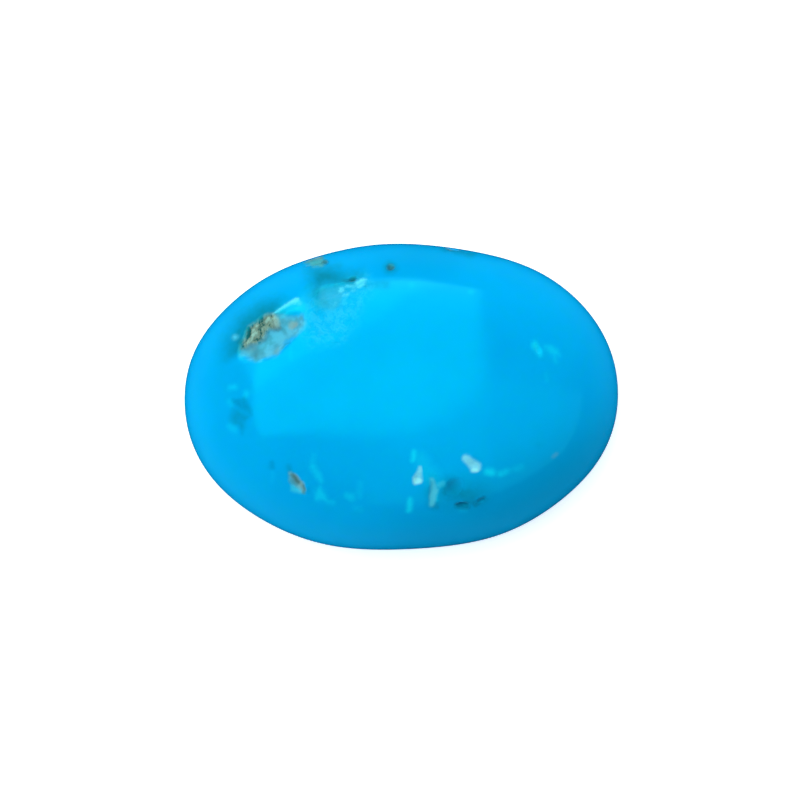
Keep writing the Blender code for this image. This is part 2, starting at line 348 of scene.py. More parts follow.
# Where each mask has its patches: strength, softness of the edge and how it wanders
PATCHES = (
    ("iron", IRON_MATRIX, 1.00, 0.26, NEAR),
    ("host", HOST_ROCK, 1.00, 0.32, RAGGED),
    ("host", LOWER_LEFT_ROCK, 1.00, 0.16, NEAR),
    ("host_shade", HOST_SHADE, 0.95, 0.60, NEAR),
    ("teal", TEAL_STAIN_AND_SHADE, 0.92, 1.50, WILD),
    ("teal", GREEN_LOBE, 0.40, 0.34, NEAR),
    ("teal", LEFT_TEAL, 0.42, 0.45, NEAR),
    ("teal", OLIVE_PATCH, 0.72, 0.40, NEAR),
    ("olive", OLIVE_PATCH, 1.00, 0.24, NEAR),
    ("facet", CYAN_FACET, 0.85, 0.18, NEAR),
    ("chalk_patch", CHALK, 1.00, 0.30, NEAR),
    # Dark painted shade over the lower hollow and at the left
    ("painted_dark_shade", SHADED_HOLLOW, 0.46, 0.70, NEAR),
    ("painted_dark_shade", LEFT_SHADE, 0.36, 0.24, NEAR),
    ("rough", ROUGH_SKIN, 1.00, 1.10, WILD),
)
# Where each mask has its streaks, with the softness of their edge
STREAKS = (
    ("teal", STAIN_AND_SHADE_SPOTS, 0.40),
    ("painted_dark_shade", DARK_SHADE_SPOTS, 0.24),
    ("crevice_shade", DARK_SPOTS, 0.20),
    ("brown", BROWN_SPOTS, 0.22),
    ("pale", PALE_STREAKS, 0.30),
    ("pale", BROAD_PALES, 0.60),
    ("chalk_and_highlight", CHALK_AND_HIGHLIGHT_STREAKS, 0.16),
    ("bead_and_highlight", BEADS_AND_HIGHLIGHTS, 0.15),
    ("grey_drop", GREY_DROPS, 0.20),
)
IRON_EDGE = 0.12
# The hollow's raised lip lies under the first two chalk streaks, which are the painted highlight on its
# edge
LIP_STREAKS = CHALK_AND_HIGHLIGHT_STREAKS[:2]
LIP_EDGE = 0.14
# Painted shade in teal on the hollow's wall round the iron matrix, above a sloping line through the point
WALL_SHADE_STRENGTH = 0.84
WALL_SHADE_WIDTH = 0.80
WALL_SHADE_POINT = (-6.0, 2.6)
WALL_SHADE_SLOPE = 0.80
WALL_SHADE_EDGE = 0.5
# A wide shadow over the lower hollow, painted in two finishes
HOLLOW_SHADOW = (1.75, -4.65, 3.40, -4.60, 0.35, 0.35)
HOLLOW_SHADOW_EDGE = 1.60
HOLLOW_SHADOW_STRENGTHS = (("teal", 0.20), ("painted_dark_shade", 0.24))
# Painted shade: the body is darker past a line at the lower right, the side turned from the light:
# strength, distance, direction and softness
LOWER_SHADE = (0.93, 5.6, (0.5, -0.866), 3.6)
# More painted shade in soft ovals, at the top and at the left: strength, middle x and y, reach in x and y
OVAL_SHADES = ((0.66, 0.8, 6.2, 3.4, 1.2), (0.42, -8.0, 0.9, 1.1, 2.2))
# Drawn marks end at this height on the steep side, raggedly: depth of the fray, its size and seed
MARKS_END = 2.25
MARKS_FRAY = (0.5, 0.5, 25)
MARKS_FADE = 0.5

# Finishes, as linear colours
TURQUOISE = (0.0, 0.424, 0.905)
TURQUOISE_DEEP = (0.0, 0.384, 0.850)
TURQUOISE_GREEN = (0.0, 0.440, 0.800)
TEAL = (0.002, 0.205, 0.290)
HOST_GREY = (0.060, 0.350, 0.500)
HOST_PALE = (0.086, 0.490, 0.700)
HOST_DARK = (0.050, 0.270, 0.360)
IRON_TAN = (0.180, 0.290, 0.220)
IRON_CREAM = (0.275, 0.520, 0.440)
# Colour of the painted shade in crevices and gaps
CREVICE_SHADE = (0.008, 0.075, 0.070)
BROWN = (0.210, 0.370, 0.370)
# Colour of the painted shade on the body
BODY_SHADE_BLUE = (0.0, 0.318, 0.655)
PALE_CYAN = (0.004, 0.690, 1.0)
FACET_CYAN = (0.030, 0.580, 0.860)
MOTTLE_CYAN = (0.030, 0.580, 0.930)
CHALK_GREY = (0.035, 0.400, 0.600)
OLIVE = (0.080, 0.410, 0.385)
CHALK_AND_HIGHLIGHT_CYAN = (0.090, 0.720, 0.950)
GREY_CYAN = (0.060, 0.530, 0.740)
BEAD_AND_HIGHLIGHT_WHITE = (0.270, 0.850, 0.970)
# Colour of the dark painted shade in the pits
DARK_SHADE_NAVY = (0.0, 0.095, 0.205)
BACK_STONE = (0.015, 0.420, 0.740)
BACK_ROCK = (0.360, 0.250, 0.150)
BACK_ROCK_DARK = (0.170, 0.105, 0.062)
SPECULAR_CYAN = (0.0, 1.0, 1.0)
STONE_IOR = 1.65
POLISH_ROUGHNESS = 0.10
POLISH_CHANGE = 0.04
WAVE_HEIGHT = 0.004

# Noises: size in mm, detail, roughness, distortion, and how much taller than wide the grain is.
# Each band gives the heights of its noise over which one colour turns into the next
CLOUD_NOISE = (2.6, 2.0)
CLOUD_BAND = (0.35, 0.65)
FLECK_NOISE = (0.5, 3.0)
FLECK_BAND = (0.42, 0.62)
MOTTLE_NOISE = (0.34, 4.0, 0.6, 0.8)
MOTTLE_BAND = (0.40, 0.64)
HOST_NOISE = (0.50, 3.0, 0.5)
HOST_BAND = (0.36, 0.64)
IRON_NOISE = (0.24, 4.0, 0.65, 0.0, 2.2)
IRON_NOISE_GAIN = 1.5
IRON_TAN_BAND = (0.16, 0.48)
IRON_CREAM_BAND = (0.50, 0.86)
BACK_ROCK_NOISE = (0.4, 4.0, 0.6)
BACK_ROCK_BAND = (0.40, 0.60)
BACK_PATCH_NOISE = (3.2, 4.0, 0.55, 0.3)
BACK_PATCH_BAND = (0.53, 0.59)
POLISH_NOISE = (1.4, 2.0)
WAVE_NOISE = (1.6, 1.0)
FLOOR_NOISE = (0.8, 3.0)
FLOOR_BAND = (0.3, 0.7)
NOISE_MIDDLE = 0.5

# Shares of the tints and of the painted shade in the body's colour, and the fray of the dark painted shade
CLOUD_SHARE = 0.50
FLECK_SHARE = 0.25
BODY_SHADE_SHARE = 0.80
SKIN_SHARE = 0.16
MOTTLE_SHARE = 0.50
DARK_SHADE_FRAY = (0.16, 0.25)
FRAY_GAIN = 4.0               # a mask of a quarter or more frays in full
# Layers of paint from the bottom up: mask, size and amount of the fray of its edge, strength and
# colour. The host rock and the iron matrix have no single colour
LAYERS = (
    # The teal is partly stain and partly painted shade round the hollows
    ("teal", 0.25, 0.30, 1.00, TEAL),
    ("chalk_patch", 0.26, 0.90, 0.50, CHALK_GREY),
    ("pale", 0.12, 0.30, 1.00, PALE_CYAN),
    # Chalk, and painted highlights on lit edges
    ("chalk_and_highlight", 0.08, 0.90, 1.00, CHALK_AND_HIGHLIGHT_CYAN),
    ("host", 0.16, 0.30, 1.00, None),
    ("grey_drop", 0.12, 0.30, 1.00, GREY_CYAN),
    ("olive", 0.14, 1.60, 0.66, OLIVE),
    ("facet", 0.12, 0.30, 1.00, FACET_CYAN),
    ("iron", 0.12, 0.40, 1.00, None),
    ("brown", 0.12, 0.35, 1.00, BROWN),
    # Painted shade in crevices, pits and gaps
    ("crevice_shade", 0.12, 0.30, 1.00, CREVICE_SHADE),
    # White mineral, with painted highlights at the pits' lower ends
    ("bead_and_highlight", 0.14, 0.30, 1.00, BEAD_AND_HIGHLIGHT_WHITE),
)
# How dull each mask makes the polish
DULLNESS = (
    ("pit", 0.40), ("rough", 0.30), ("host", 0.30), ("iron", 0.60), ("crevice_shade", 0.50),
    ("painted_dark_shade", 0.40), ("chalk_and_highlight", 0.30), ("grey_drop", 0.25), ("brown", 0.30), ("back", 0.60),
)
# Grit in the bump: mask, size in mm, detail, roughness and height in mm
GRIT = (
    ("rough", 0.09, 4.0, 0.6, 0.032),
    ("iron", 0.07, 4.0, 0.7, 0.050),
    ("back", 0.20, 2.0, 0.5, 0.012),
)

WHITE_LIGHT = (1.0, 1.0, 1.0, 1.0)

# Floor: a card whose glow grows towards the left
FLOOR_WHITE = (0.93, 0.93, 0.93)
FLOOR_GREY = (0.92, 0.92, 0.92)
FLOOR_ROUGHNESS = 0.9
FLOOR_REACH = 3.0             # in metres
FLOOR_LIFT = 0.02
FLOOR_GLOW = 0.58
LEFT_GLOW = 0.22
LEFT_GLOW_REACH = 20.0

# Camera: the photograph looks almost straight down on the stone
CAMERA_ELEVATION = 86.0
CAMERA_LENS = 200.0
CAMERA_DISTANCE = 205.66
CAMERA_AIM = (-0.058, -0.159, 1.0)
CAMERA_CLIP = (0.001, 20.0)   # in metres

# The room's even pale light
ROOM_RADIANCE = 0.36

# Soft boxes lie flat over the stone. Each is trimmed by straight soft edges, as by barn doors: the
# direction that an edge faces in degrees, and its distance from the stone's axis and softness in mm
WIDE_BOX = {
    "middle": (-35.0, 217.0, 300.0), "size": (384.0, 630.0), "radiance": 1.74,
    "edges": ((180.0, 223.0, 10.0), (90.0, 525.0, 30.0), (-11.1, 44.8, 30.0), (-72.3, 17.2, 14.0),
              (-58.9, 6.0, 50.0)),
}
BRIGHT_BOX = {
    "middle": (-135.0, 330.0, 304.0), "size": (420.0, 620.0), "radiance": 1.10,
    "edges": ((-14.7, -60.0, 30.0), (-67.5, -110.5, 20.0), (224.4, 127.0, 12.0)),
}
# This one shows in the polish only
FAINT_BOX = {
    "middle": (330.0, -250.0, 308.0), "size": (820.0, 660.0), "radiance": 0.55,
    "edges": ((180.0, 30.0, 60.0), (90.0, 32.0, 40.0), (-90.0, 440.0, 160.0), (0.0, 650.0, 60.0)),
}
# Fill cards brighten the stone's sides without showing in its polish: heading and height in degrees,
# upright size in mm and radiance
FILL_DISTANCE = 400.0
FILL_WIDTH = 300.0
FILLS = {
    "left_card": (180.0, 30.0, 90.0, 3.0),
    "low_left_card": (232.0, 8.0, 90.0, 1.8),
    "low_right_card": (0.0, 8.0, 90.0, 0.8),
    "right_card": (45.0, 15.0, 240.0, 1.2),
}


def outline_radius(angle):
    """Distance of the girdle from the middle: an oval, cut by soft flats."""
    turned = angle - OVAL_TURN
    oval = (np.abs(np.cos(turned) / HALF_LENGTH) ** OVAL_POWER
            + np.abs(np.sin(turned) / HALF_WIDTH) ** OVAL_POWER) ** (FLAT_SOFTNESS / OVAL_POWER)
    for direction, distance in GROUND_FLATS:
        facing = np.maximum(np.cos(angle - math.radians(direction)), 0.0)
        oval = oval + (facing / distance) ** FLAT_SOFTNESS
    return oval ** (-1.0 / FLAT_SOFTNESS)


def crown_height(share):
    """Height of the crown at a share, from 0 to 1, of the way from the middle to the girdle."""
    return GIRDLE_HEIGHT + CROWN_RISE * (1.0 - share ** CROWN_FLATNESS) ** (1.0 / SHOULDER_POWER)


def even_shares(steps):
    """Shares whose points lie at equal lengths along the crown's profile, for steps from 0 to 1."""
    share = np.sin(np.linspace(0.0, math.pi / 2.0, PROFILE_STEPS))
    lengths = np.hypot(np.diff(share * MEAN_RADIUS), np.diff(crown_height(share)))
    along = np.concatenate(([0.0], np.cumsum(lengths)))
    return np.interp(steps, along / along[-1], share)


def crown_grid():
    """A square grid rounded to a disc, spread evenly down the crown. At each busy place the cells are
    drawn in by a share that falls off as a bell curve, and the rim stays where it is."""
    line = np.linspace(-1.0, 1.0, CELLS + 1)
    u, v = np.meshgrid(line, line)
    disc_x = u * np.sqrt(1.0 - v * v / 2.0)
    disc_y = v * np.sqrt(1.0 - u * u / 2.0)
    angle = np.arctan2(disc_y, disc_x)
    share = even_shares(np.minimum(np.hypot(disc_x, disc_y), 1.0))
    radius = share * outline_radius(angle)
    x = radius * np.cos(angle)
    y = radius * np.sin(angle)
    window = 1.0 - share ** RIM_GUARD_POWER
    shift_x = np.zeros_like(x)
    shift_y = np.zeros_like(y)
    for middle_x, middle_y, reach, pull in BUSY_PLACES:
        near = pull * window * np.exp(-((x - middle_x) ** 2 + (y - middle_y) ** 2) / reach ** 2)
        shift_x += near * (middle_x - x)
        shift_y += near * (middle_y - y)
    x = x + shift_x
    y = y + shift_y
    share = np.clip(np.hypot(x, y) / outline_radius(np.arctan2(y, x)), 0.0, 1.0)
    share[window <= 0.0] = 1.0
    return x, y, crown_height(share)


def grid_normals(x, y, z):
    """Outward directions of a grid: the cross product of its two step directions."""
    steps_u = np.stack([np.gradient(part, axis=1) for part in (x, y, z)], axis=-1)
    steps_v = np.stack([np.gradient(part, axis=0) for part in (x, y, z)], axis=-1)
    normals = np.cross(steps_u, steps_v)
    return normals / np.maximum(np.linalg.norm(normals, axis=-1, keepdims=True), TINY)


def value_noise(x, y, size, seed):
    """Random heights from -1 to 1 on a square lattice of a given size, eased from point to point."""
    table = np.random.default_rng(seed).uniform(-1.0, 1.0, (LATTICE, LATTICE))
    across = x / size
    along = y / size
    column = np.floor(across).astype(int)
    row = np.floor(along).astype(int)
    ease_x = across - column
    ease_y = along - row
    left, right = column % LATTICE, (column + 1) % LATTICE
    near, far = row % LATTICE, (row + 1) % LATTICE
    ease_x = ease_x * ease_x * (3.0 - 2.0 * ease_x)
    ease_y = ease_y * ease_y * (3.0 - 2.0 * ease_y)
    low = table[near, left] * (1.0 - ease_x) + table[near, right] * ease_x
    high = table[far, left] * (1.0 - ease_x) + table[far, right] * ease_x
    return low * (1.0 - ease_y) + high * ease_y


def layered_noise(x, y, size, seed):
    """Value noise added up over layers, each half as large and half as high as the one before,
    and divided by the sum of their heights."""
    total = np.zeros_like(x)
    for layer in range(NOISE_LAYERS):
        total += value_noise(x, y, size / 2.0 ** layer, seed + layer) / 2.0 ** layer
    return total / (2.0 - 0.5 ** (NOISE_LAYERS - 1))


def smooth_cover(distance, softness):
    """1 inside, 0 outside, eased over a band of the given width round distance 0."""
    cover = np.clip(0.5 - distance / softness, 0.0, 1.0)
    return cover * cover * (3.0 - 2.0 * cover)


def streak_distance(x, y, start_x, start_y, end_x, end_y, start_radius, end_radius):
    """Distance to a tapered streak: to the nearest point of its line, less the radius there."""
    run_x = end_x - start_x
    run_y = end_y - start_y
    run = max(run_x * run_x + run_y * run_y, TINY)
    along = np.clip(((x - start_x) * run_x + (y - start_y) * run_y) / run, 0.0, 1.0)
    gap = np.hypot(x - start_x - along * run_x, y - start_y - along * run_y)
    return gap - start_radius - along * (end_radius - start_radius)


def patch_distance(x, y, corners):
    """Distance to a patch's edge, less than 0 inside: nearest side, signed by a crossing count."""
    nearest = np.full(x.shape, FAR_AWAY)
    inside = np.zeros(x.shape, dtype=bool)
    for (ax, ay), (bx, by) in zip(corners, corners[1:] + corners[:1]):
        nearest = np.minimum(nearest, streak_distance(x, y, ax, ay, bx, by, 0.0, 0.0))
        if ay != by:
            crosses = ((ay > y) != (by > y)) & (x < (bx - ax) * (y - ay) / (by - ay) + ax)
            inside ^= crosses
    return np.where(inside, -nearest, nearest)


def streak_cover(x, y, streaks, softness):
    """The strongest cover of a list of streaks and spots."""
    cover = np.zeros_like(x)
    for streak in streaks:
        distance = streak_distance(x, y, *streak[:6])
        cover = np.maximum(cover, streak[6] * smooth_cover(distance, softness))
    return cover


def patch_cover(x, y, corners, softness):
    """The cover of a patch, from the distance to its edge."""
    return smooth_cover(patch_distance(x, y, corners), softness)


def pit_relief(points, normals, x, y):
    """Depth of the pits. Each is the lower cap of an ellipsoid that stands on the crown's normal,
    eased at its rim and mixed with a bowl, which falls off as the square of 1 less the squared share
    of the way to its edge."""
    depth_map = np.zeros(x.shape)
    place = points.reshape(-1, 3)
    for number, (pit_x, pit_y, length, width, depth, turn, roughness, bowl) in enumerate(PITS):
        nearest = np.argmin((x - pit_x) ** 2 + (y - pit_y) ** 2)
        middle = place[nearest]
        normal = normals.reshape(-1, 3)[nearest]
        long_way = np.array([math.cos(math.radians(turn)), math.sin(math.radians(turn)), 0.0])
        long_way = long_way - normal * long_way.dot(normal)
        long_way /= np.linalg.norm(long_way)
        cross_way = np.cross(normal, long_way)
        lift = depth * PIT_STANDOFF
        reach = depth + lift
        spread = math.sqrt(1.0 - (lift / reach) ** 2)
        away = points - middle
        swell = 1.0 + roughness * PIT_SWELL * layered_noise(x, y, width * PIT_GRAIN, PIT_SEED + number)
        share = (away @ long_way / (length / 2.0)) ** 2 + (away @ cross_way / (width / 2.0)) ** 2
        share = share / swell ** 2
        cap = reach * np.sqrt(np.clip(1.0 - share * spread ** 2, 0.0, 1.0)) - lift
        cap = np.maximum(0.5 * (cap + np.sqrt(cap ** 2 + PIT_EASE ** 2) - PIT_EASE), 0.0)
        dish = depth * np.clip(1.0 - share / BOWL_SPREAD, 0.0, 1.0) ** 2
        close = np.abs(away @ normal) < PIT_REACH
        depth_map = np.maximum(depth_map, np.where(close, cap + bowl * (dish - cap), 0.0))
    return depth_map


def iron_pattern(x, y):
    """The iron matrix from -1 to 1: the drawn grains less the drawn gaps, and finer upright grains,
    which are noise drawn out along y."""
    place = drifted(x, y, *GRAINY)
    drawn = streak_cover(*place, IRON_GRAINS, IRON_EDGE) - streak_cover(*place, IRON_GAPS, IRON_EDGE)
    return drawn, layered_noise(x * IRON_STRETCH, y, *IRON_GRAIN)


def fine_relief(x, y, height, size, seed):
    """Noise of a given height in mm."""
    return height * layered_noise(x, y, size, seed)


def stone_surface():
    """The crown grid moved along its normals by the pits, the iron grains and the unpolished skin."""
    x, y, z = crown_grid()
    normals = grid_normals(x, y, z)
    points = np.stack([x, y, z], axis=-1)
    masks = crown_masks(x, y, z)
    depth = pit_relief(points, normals, x, y)
    masks["pit"] = np.clip(depth / DULL_DEPTH, 0.0, 1.0)
    relief = -depth
    drawn, fine = iron_pattern(x, y)
    relief += masks["iron"] * (IRON_LEVEL + IRON_HEIGHT * (drawn + fine) - relief)
    relief += masks["rough"] * sum(fine_relief(x, y, *layer) for layer in SKIN_RELIEF)
    relief += masks["host"] * (1.0 - masks["iron"]) * fine_relief(x, y, *HOST_RELIEF)
    relief += masks["lip"] * LIP_HEIGHT
    masks["grain"] = np.clip(GRAIN_LEVEL + DRAWN_SHARE * drawn + FINE_SHARE * fine, 0.0, 1.0)
    points = points + normals * relief[..., None]
    return points, masks


def drifted(x, y, amount, size, seed):
    """The same places, each pushed aside by noise, so that an edge drawn with them wanders."""
    drift_x = amount * layered_noise(x, y, size, seed)
    drift_y = amount * layered_noise(x, y, size, seed + SEED_STEP)
    return x + drift_x, y + drift_y


def iron_wall_shade(x, y):
    """Painted shade on the hollow's wall: a bell curve of the distance outside the iron matrix, cut off
    below a sloping line.
    """
    outside = np.maximum(patch_distance(x, y, IRON_MATRIX), 0.0)
    above_line = y - WALL_SHADE_POINT[1] - (x - WALL_SHADE_POINT[0]) * WALL_SHADE_SLOPE
    return WALL_SHADE_STRENGTH * np.exp(-(outside / WALL_SHADE_WIDTH) ** 2) * np.clip(above_line / WALL_SHADE_EDGE, 0.0, 1.0)


def body_shade(x, y):
    """Painted shade on the body: the strongest of a shade past a line, eased across it, and of soft ovals,
    as bell curves.
    """
    strength, distance, (right, up), softness = LOWER_SHADE
    shade = strength * smooth_cover(distance - right * x - up * y, softness)
    for strength, middle_x, middle_y, reach_x, reach_y in OVAL_SHADES:
        share = ((x - middle_x) / reach_x) ** 2 + ((y - middle_y) / reach_y) ** 2
        shade = np.maximum(shade, strength * np.exp(-share))
    return shade


def crown_masks(x, y, z):
    """How far each finish covers each point of the crown: the strongest of its marks there. Drawn
    marks end raggedly down the steep side."""
    places = {wander: drifted(x, y, *wander) for wander in (NEAR, WILD, RAGGED)}
    hollow_shadow = smooth_cover(streak_distance(x, y, *HOLLOW_SHADOW), HOLLOW_SHADOW_EDGE)
    # Painted shade in teal on the wall round the iron matrix
    marks = [("teal", iron_wall_shade(x, y)), ("lip", streak_cover(x, y, LIP_STREAKS, LIP_EDGE))]
    marks += [(name, strength * hollow_shadow) for name, strength in HOLLOW_SHADOW_STRENGTHS]
    marks += [(name, strength * patch_cover(*places[wander], corners, softness))
              for name, corners, strength, softness, wander in PATCHES]
    marks += [(name, streak_cover(*places[NEAR], streaks, softness)) for name, streaks, softness in STREAKS]
    fray, size, seed = MARKS_FRAY
    above = smooth_cover(MARKS_END - z - fray * layered_noise(x, z, size, seed), MARKS_FADE)
    masks = {}
    for name, cover in marks:
        masks[name] = np.maximum(masks.get(name, 0.0), cover * above)
    # Painted shade on the body
    masks["painted_body_shade"] = body_shade(x, y)
    return masks


def rim_loop():
    """Grid positions of the crown's edge, once round, counter-clockwise seen from above."""
    side = CELLS + 1
    index = np.arange(side * side).reshape(side, side)
    return np.concatenate([index[0, :-1], index[:-1, -1], index[-1, :0:-1], index[:0:-1, 0]])


def ring_points(angle, share, height):
    """A ring at one height, at a share of the girdle's distance from the middle."""
    radius = share * outline_radius(angle)
    return np.stack([radius * np.cos(angle), radius * np.sin(angle), np.full(angle.shape, height)], axis=-1)


def lower_rings(rim):
    """Rings from the girdle round the undercut and over the back. The back's middle closes them."""
    angle = np.arctan2(rim[:, 1], rim[:, 0])
    rings = []
    for ring in range(1, UNDERCUT_RINGS + 1):
        turn = math.pi / 2.0 * ring / UNDERCUT_RINGS
        share = 1.0 - (1.0 - BACK_SHRINK) * (1.0 - math.cos(turn))
        rings.append(ring_points(angle, share, GIRDLE_HEIGHT * (1.0 - math.sin(turn))))
    for ring in range(1, BACK_RINGS):
        rings.append(ring_points(angle, BACK_SHRINK * (1.0 - ring / BACK_RINGS), 0.0))
    return rings


def add_mask(mesh, name, values):
    """Stores a number for each vertex, which a finish reads by its name."""
    layer = mesh.attributes.new(name, "FLOAT", "POINT")
    layer.data.foreach_set("value", values.astype(np.float32))


def closed_mesh(name, points, masks):
    """Crown quads, bands of quads between the rings and a fan at the back's middle, as one mesh.
    The last ring of the undercut, which is the back's edge, counts as back."""
    side = CELLS + 1
    index = np.arange(side * side).reshape(side, side)
    quads = np.stack([index[:-1, :-1], index[:-1, 1:], index[1:, 1:], index[1:, :-1]], axis=-1)
    crown = points.reshape(-1, 3)
    loop = rim_loop()
    rings = lower_rings(crown[loop])
    bands = []
    upper = loop
    first = side * side
    for _ in rings:
        lower = np.arange(first, first + len(loop))
        bands.append(np.stack([upper, lower, np.roll(lower, -1), np.roll(upper, -1)], axis=-1))
        upper = lower
        first += len(loop)
    fan = np.stack([upper, np.full(len(loop), first), np.roll(upper, -1)], axis=-1)
    vertices = np.concatenate([crown] + rings + [np.zeros((1, 3))]) * MM
    faces = np.concatenate([quads.reshape(-1, 4)] + bands).tolist() + fan.tolist()
    mesh = bpy.data.meshes.new(name)
    mesh.from_pydata(vertices.tolist(), [], faces)
    back = np.zeros(len(vertices))
    back[side * side + (UNDERCUT_RINGS - 1) * len(loop):] = 1.0
    add_mask(mesh, "back", back)
    below = np.zeros(len(vertices) - len(crown))
    for mask_name, mask in masks.items():
        add_mask(mesh, mask_name, np.concatenate([mask.ravel(), below]))
    mesh.shade_smooth()
    piece = bpy.data.objects.new(name, mesh)
    bpy.context.scene.collection.objects.link(piece)
    return piece


class Paint:
    """A material's node tree, with short calls for the nodes that the finishes need."""

    def __init__(self, name):
        self.material = bpy.data.materials.new(name)
        self.material.use_nodes = True
        self.tree = self.material.node_tree
        self.shader = self.tree.nodes["Principled BSDF"]
        self.where = self.tree.nodes.new("ShaderNodeTexCoord").outputs["Object"]

    def feed(self, socket, value):
        """Links another node's output to a socket, or sets the socket's own value."""
        if isinstance(value, bpy.types.NodeSocket):
            self.tree.links.new(value, socket)
        else:
            socket.default_value = value

    def mask(self, name):
        """The number that the mesh stores at each vertex under this name."""
        reader = self.tree.nodes.new("ShaderNodeAttribute")
        reader.attribute_name = name
        return reader.outputs["Fac"]

    def math(self, operation, first, second, clamp=False):
        """One sum of two numbers, kept from 0 to 1 if it is clamped."""
        step = self.tree.nodes.new("ShaderNodeMath")
        step.operation = operation
        step.use_clamp = clamp
        self.feed(step.inputs[0], first)
        self.feed(step.inputs[1], second)
        return step.outputs[0]

    def blend(self, share, first, second):
        """The first colour at share 0 and the second at share 1."""
        step = self.tree.nodes.new("ShaderNodeMix")
        step.data_type = "RGBA"
        self.feed(step.inputs["Factor"], share)
        for socket, value in zip(step.inputs[6:8], (first, second)):
            self.feed(socket, value if isinstance(value, bpy.types.NodeSocket) else (*value, 1.0))
        return step.outputs[2]

    def noise(self, size, detail=3.0, roughness=0.5, distortion=0.0, upright=1.0):
        """Noise from 0 to 1 whose grain is the given size in mm, and upright times taller than wide."""
        squeeze = self.tree.nodes.new("ShaderNodeVectorMath")
        squeeze.operation = "MULTIPLY"
        self.feed(squeeze.inputs[0], self.where)
        squeeze.inputs[1].default_value = (upright, 1.0, 1.0)
        grain = self.tree.nodes.new("ShaderNodeTexNoise")
        self.feed(grain.inputs["Vector"], squeeze.outputs[0])
        grain.inputs["Scale"].default_value = 1.0 / (size * MM)
        grain.inputs["Detail"].default_value = detail
        grain.inputs["Roughness"].default_value = roughness
        grain.inputs["Distortion"].default_value = distortion
        return grain.outputs["Fac"]

    def spread(self, value, low, high, to_low=0.0, to_high=1.0):
        """Eases from one number to the other as the value goes from low to high."""
        step = self.tree.nodes.new("ShaderNodeMapRange")
        step.interpolation_type = "SMOOTHSTEP"
        self.feed(step.inputs["Value"], value)
        for name, number in zip(("From Min", "From Max", "To Min", "To Max"), (low, high, to_low, to_high)):
            step.inputs[name].default_value = number
        return step.outputs["Result"]

    def patches(self, noise, band):
        """Noise as patches: 0 below a band of its heights and 1 above, eased between."""
        return self.spread(self.noise(*noise), *band)

    def frayed(self, mask, size, amount):
        """A mask whose edge is broken up by noise of the given size, but not where the mask is 0."""
        shift = self.math("MULTIPLY", self.math("SUBTRACT", self.noise(size), NOISE_MIDDLE), amount)
        inside = self.math("MULTIPLY", shift, self.math("MULTIPLY", mask, FRAY_GAIN, clamp=True))
        return self.math("ADD", mask, inside, clamp=True)

    def relief(self, height_in_mm):
        """Bump of a height in mm."""
        bump = self.tree.nodes.new("ShaderNodeBump")
        bump.inputs["Strength"].default_value = 1.0
        bump.inputs["Distance"].default_value = MM
        self.feed(bump.inputs["Height"], height_in_mm)
        self.feed(self.shader.inputs["Normal"], bump.outputs["Normal"])


def body_colour(paint):
    """Blue with faint clouds and flecks, the painted shade of the body, the dark painted shade of the pits
    and the rough skin's mottle.
    """
    cloud = paint.patches(CLOUD_NOISE, CLOUD_BAND)
    fleck = paint.patches(FLECK_NOISE, FLECK_BAND)
    mottle = paint.patches(MOTTLE_NOISE, MOTTLE_BAND)
    skin = paint.mask("rough")
    colour = paint.blend(paint.math("MULTIPLY", cloud, CLOUD_SHARE), TURQUOISE, TURQUOISE_DEEP)
    colour = paint.blend(paint.math("MULTIPLY", fleck, FLECK_SHARE), colour, TURQUOISE_GREEN)
    colour = paint.blend(paint.math("MULTIPLY", paint.mask("painted_body_shade"), BODY_SHADE_SHARE), colour, BODY_SHADE_BLUE)
    colour = paint.blend(paint.frayed(paint.mask("painted_dark_shade"), *DARK_SHADE_FRAY), colour, DARK_SHADE_NAVY)
    colour = paint.blend(paint.math("MULTIPLY", skin, SKIN_SHARE), colour, PALE_CYAN)
    mottled = paint.math("MULTIPLY", paint.math("MULTIPLY", mottle, skin), MOTTLE_SHARE)
    return paint.blend(mottled, colour, MOTTLE_CYAN)


def host_colour(paint):
    """Host rock: grey and pale patches, with a darker patch at its foot."""
    colour = paint.blend(paint.patches(HOST_NOISE, HOST_BAND), HOST_GREY, HOST_PALE)
    return paint.blend(paint.mask("host_shade"), colour, HOST_DARK)


def iron_colour(paint):
    """Iron matrix: dark painted shade in the gaps, tan grains and cream tops, the cream partly painted
    light, by the grain mask and finer upright noise.
    """
    fine = paint.math("SUBTRACT", paint.noise(*IRON_NOISE), NOISE_MIDDLE)
    grain = paint.math("ADD", paint.mask("grain"), paint.math("MULTIPLY", fine, IRON_NOISE_GAIN))
    colour = paint.blend(paint.spread(grain, *IRON_TAN_BAND), CREVICE_SHADE, IRON_TAN)
    return paint.blend(paint.spread(grain, *IRON_CREAM_BAND), colour, IRON_CREAM)


def back_colour(paint):
    """Ground back: paler stone with patches of brown host rock."""
    rock = paint.blend(paint.patches(BACK_ROCK_NOISE, BACK_ROCK_BAND), BACK_ROCK, BACK_ROCK_DARK)
    return paint.blend(paint.patches(BACK_PATCH_NOISE, BACK_PATCH_BAND), BACK_STONE, rock)


def stone_colour(paint):
    """The body's colour under the layers of paint, and the back."""
    mixed = {"host": host_colour(paint), "iron": iron_colour(paint)}
    colour = body_colour(paint)
    for name, size, amount, strength, flat in LAYERS:
        cover = paint.math("MULTIPLY", paint.frayed(paint.mask(name), size, amount), strength)
        colour = paint.blend(cover, colour, mixed.get(name, flat))
    return paint.blend(paint.mask("back"), colour, back_colour(paint))


